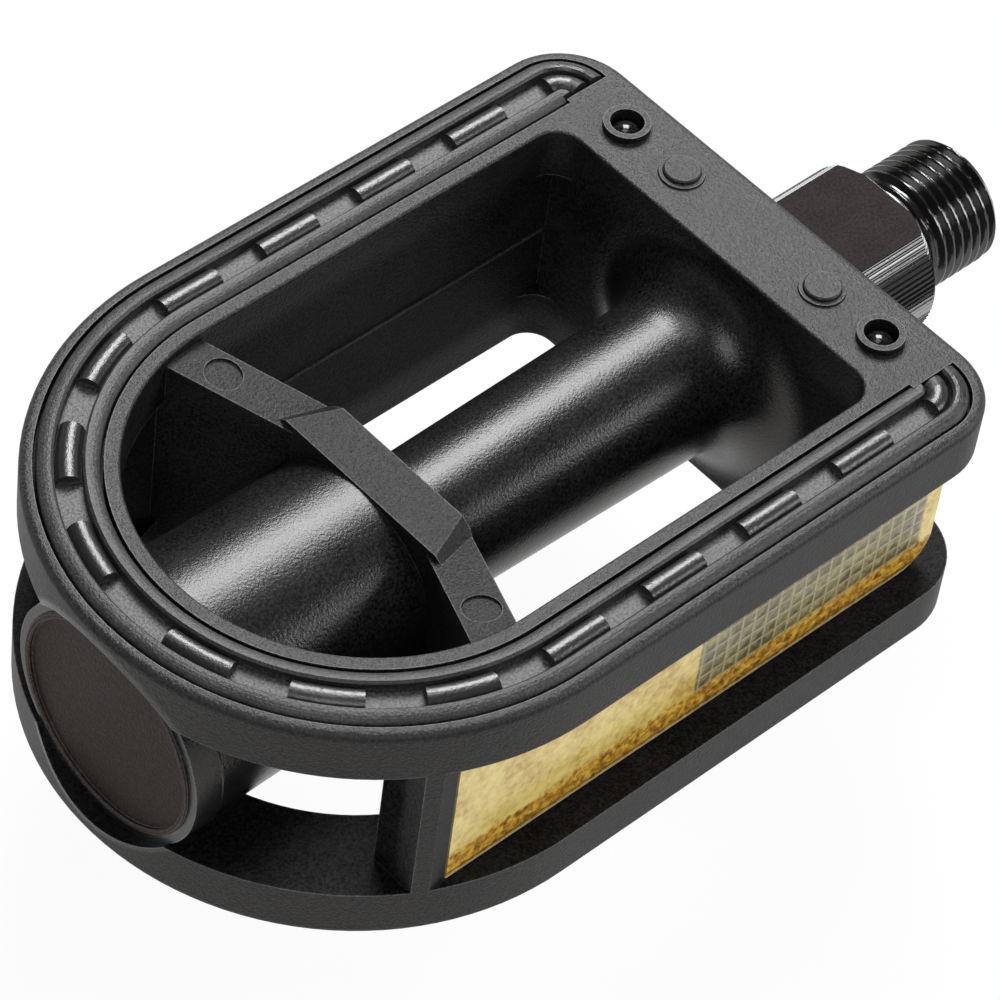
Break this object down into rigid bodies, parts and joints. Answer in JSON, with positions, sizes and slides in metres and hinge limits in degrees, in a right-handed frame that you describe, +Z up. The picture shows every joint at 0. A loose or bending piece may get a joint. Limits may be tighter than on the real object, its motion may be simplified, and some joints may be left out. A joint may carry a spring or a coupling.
{
  "type": "bicycle pedal",
  "caption": "Bicycle platform pedal with a round-ended black plastic cage, rubber tread strips on both faces, amber side reflectors and a threaded steel spindle on which the cage spins freely.",
  "frame": {"origin": "on the spindle's axis at the crank thread's inner end, beside the shoulder where the crank arm seats", "axes": "+X along the spindle towards the crank arm, +Y towards the rear reflector, +Z up out of the upper tread, with the cage level"},
  "size_m": [0.1179, 0.0654, 0.0322],
  "materials": {
    "cage_plastic": "black moulded polypropylene with a fine grain, smoother on the barrel",
    "tread_rubber": "black rubber with a satin sheen on its ridges",
    "lens_plastic": "clear amber acrylic, half smooth and half moulded with small prisms",
    "backing_plastic": "opaque amber plastic",
    "cap_plastic": "dark grey-black plastic, fine grain",
    "spindle_steel": "black-oxide steel, shiny on the thread",
    "race_steel": "hardened steel, ground on the race",
    "ball_steel": "polished chrome steel",
    "zinc_steel": "zinc-plated steel",
    "seal_rubber": "plain black rubber"
  },
  "bodies": {
    "spindle": {"spindle": "spindle_steel", "outer_cone": "race_steel", "key_washer": "zinc_steel", "lock_nut": "zinc_steel"},
    "cage": {"pedal_body": "cage_plastic", "upper_tread": "tread_rubber", "lower_tread": "tread_rubber", "front_reflector_lens": "lens_plastic", "front_reflector_back": "backing_plastic", "rear_reflector_lens": "lens_plastic", "rear_reflector_back": "backing_plastic", "end_cap": "cap_plastic", "inner_cup": "race_steel", "outer_cup": "race_steel", "dust_seal": "seal_rubber"},
    "inner_balls": {"inner_ball_1": "ball_steel", "inner_ball_2": "ball_steel", "inner_ball_3": "ball_steel", "inner_ball_4": "ball_steel", "inner_ball_5": "ball_steel", "inner_ball_6": "ball_steel", "inner_ball_7": "ball_steel", "inner_ball_8": "ball_steel", "inner_ball_9": "ball_steel", "inner_ball_10": "ball_steel", "inner_ball_11": "ball_steel", "inner_ball_12": "ball_steel"},
    "outer_balls": {"outer_ball_1": "ball_steel", "outer_ball_2": "ball_steel", "outer_ball_3": "ball_steel", "outer_ball_4": "ball_steel", "outer_ball_5": "ball_steel", "outer_ball_6": "ball_steel", "outer_ball_7": "ball_steel", "outer_ball_8": "ball_steel", "outer_ball_9": "ball_steel", "outer_ball_10": "ball_steel", "outer_ball_11": "ball_steel"}
  },
  "joints": [
    {"name": "cage_spin", "type": "hinge", "parent": "spindle", "child": "cage", "pos_m": [0, 0, 0], "axis": [1, 0, 0], "continuous": true},
    {"name": "inner_ball_spin", "type": "hinge", "parent": "spindle", "child": "inner_balls", "pos_m": [-0.02224, 0, 0], "axis": [1, 0, 0], "continuous": true},
    {"name": "outer_ball_spin", "type": "hinge", "parent": "spindle", "child": "outer_balls", "pos_m": [-0.09624, 0, 0], "axis": [1, 0, 0], "continuous": true}
  ],
  "couplings": [
    {"joint": "inner_ball_spin", "follows": "cage_spin", "ratio": 0.5888},
    {"joint": "outer_ball_spin", "follows": "cage_spin", "ratio": 0.5974}
  ]
}
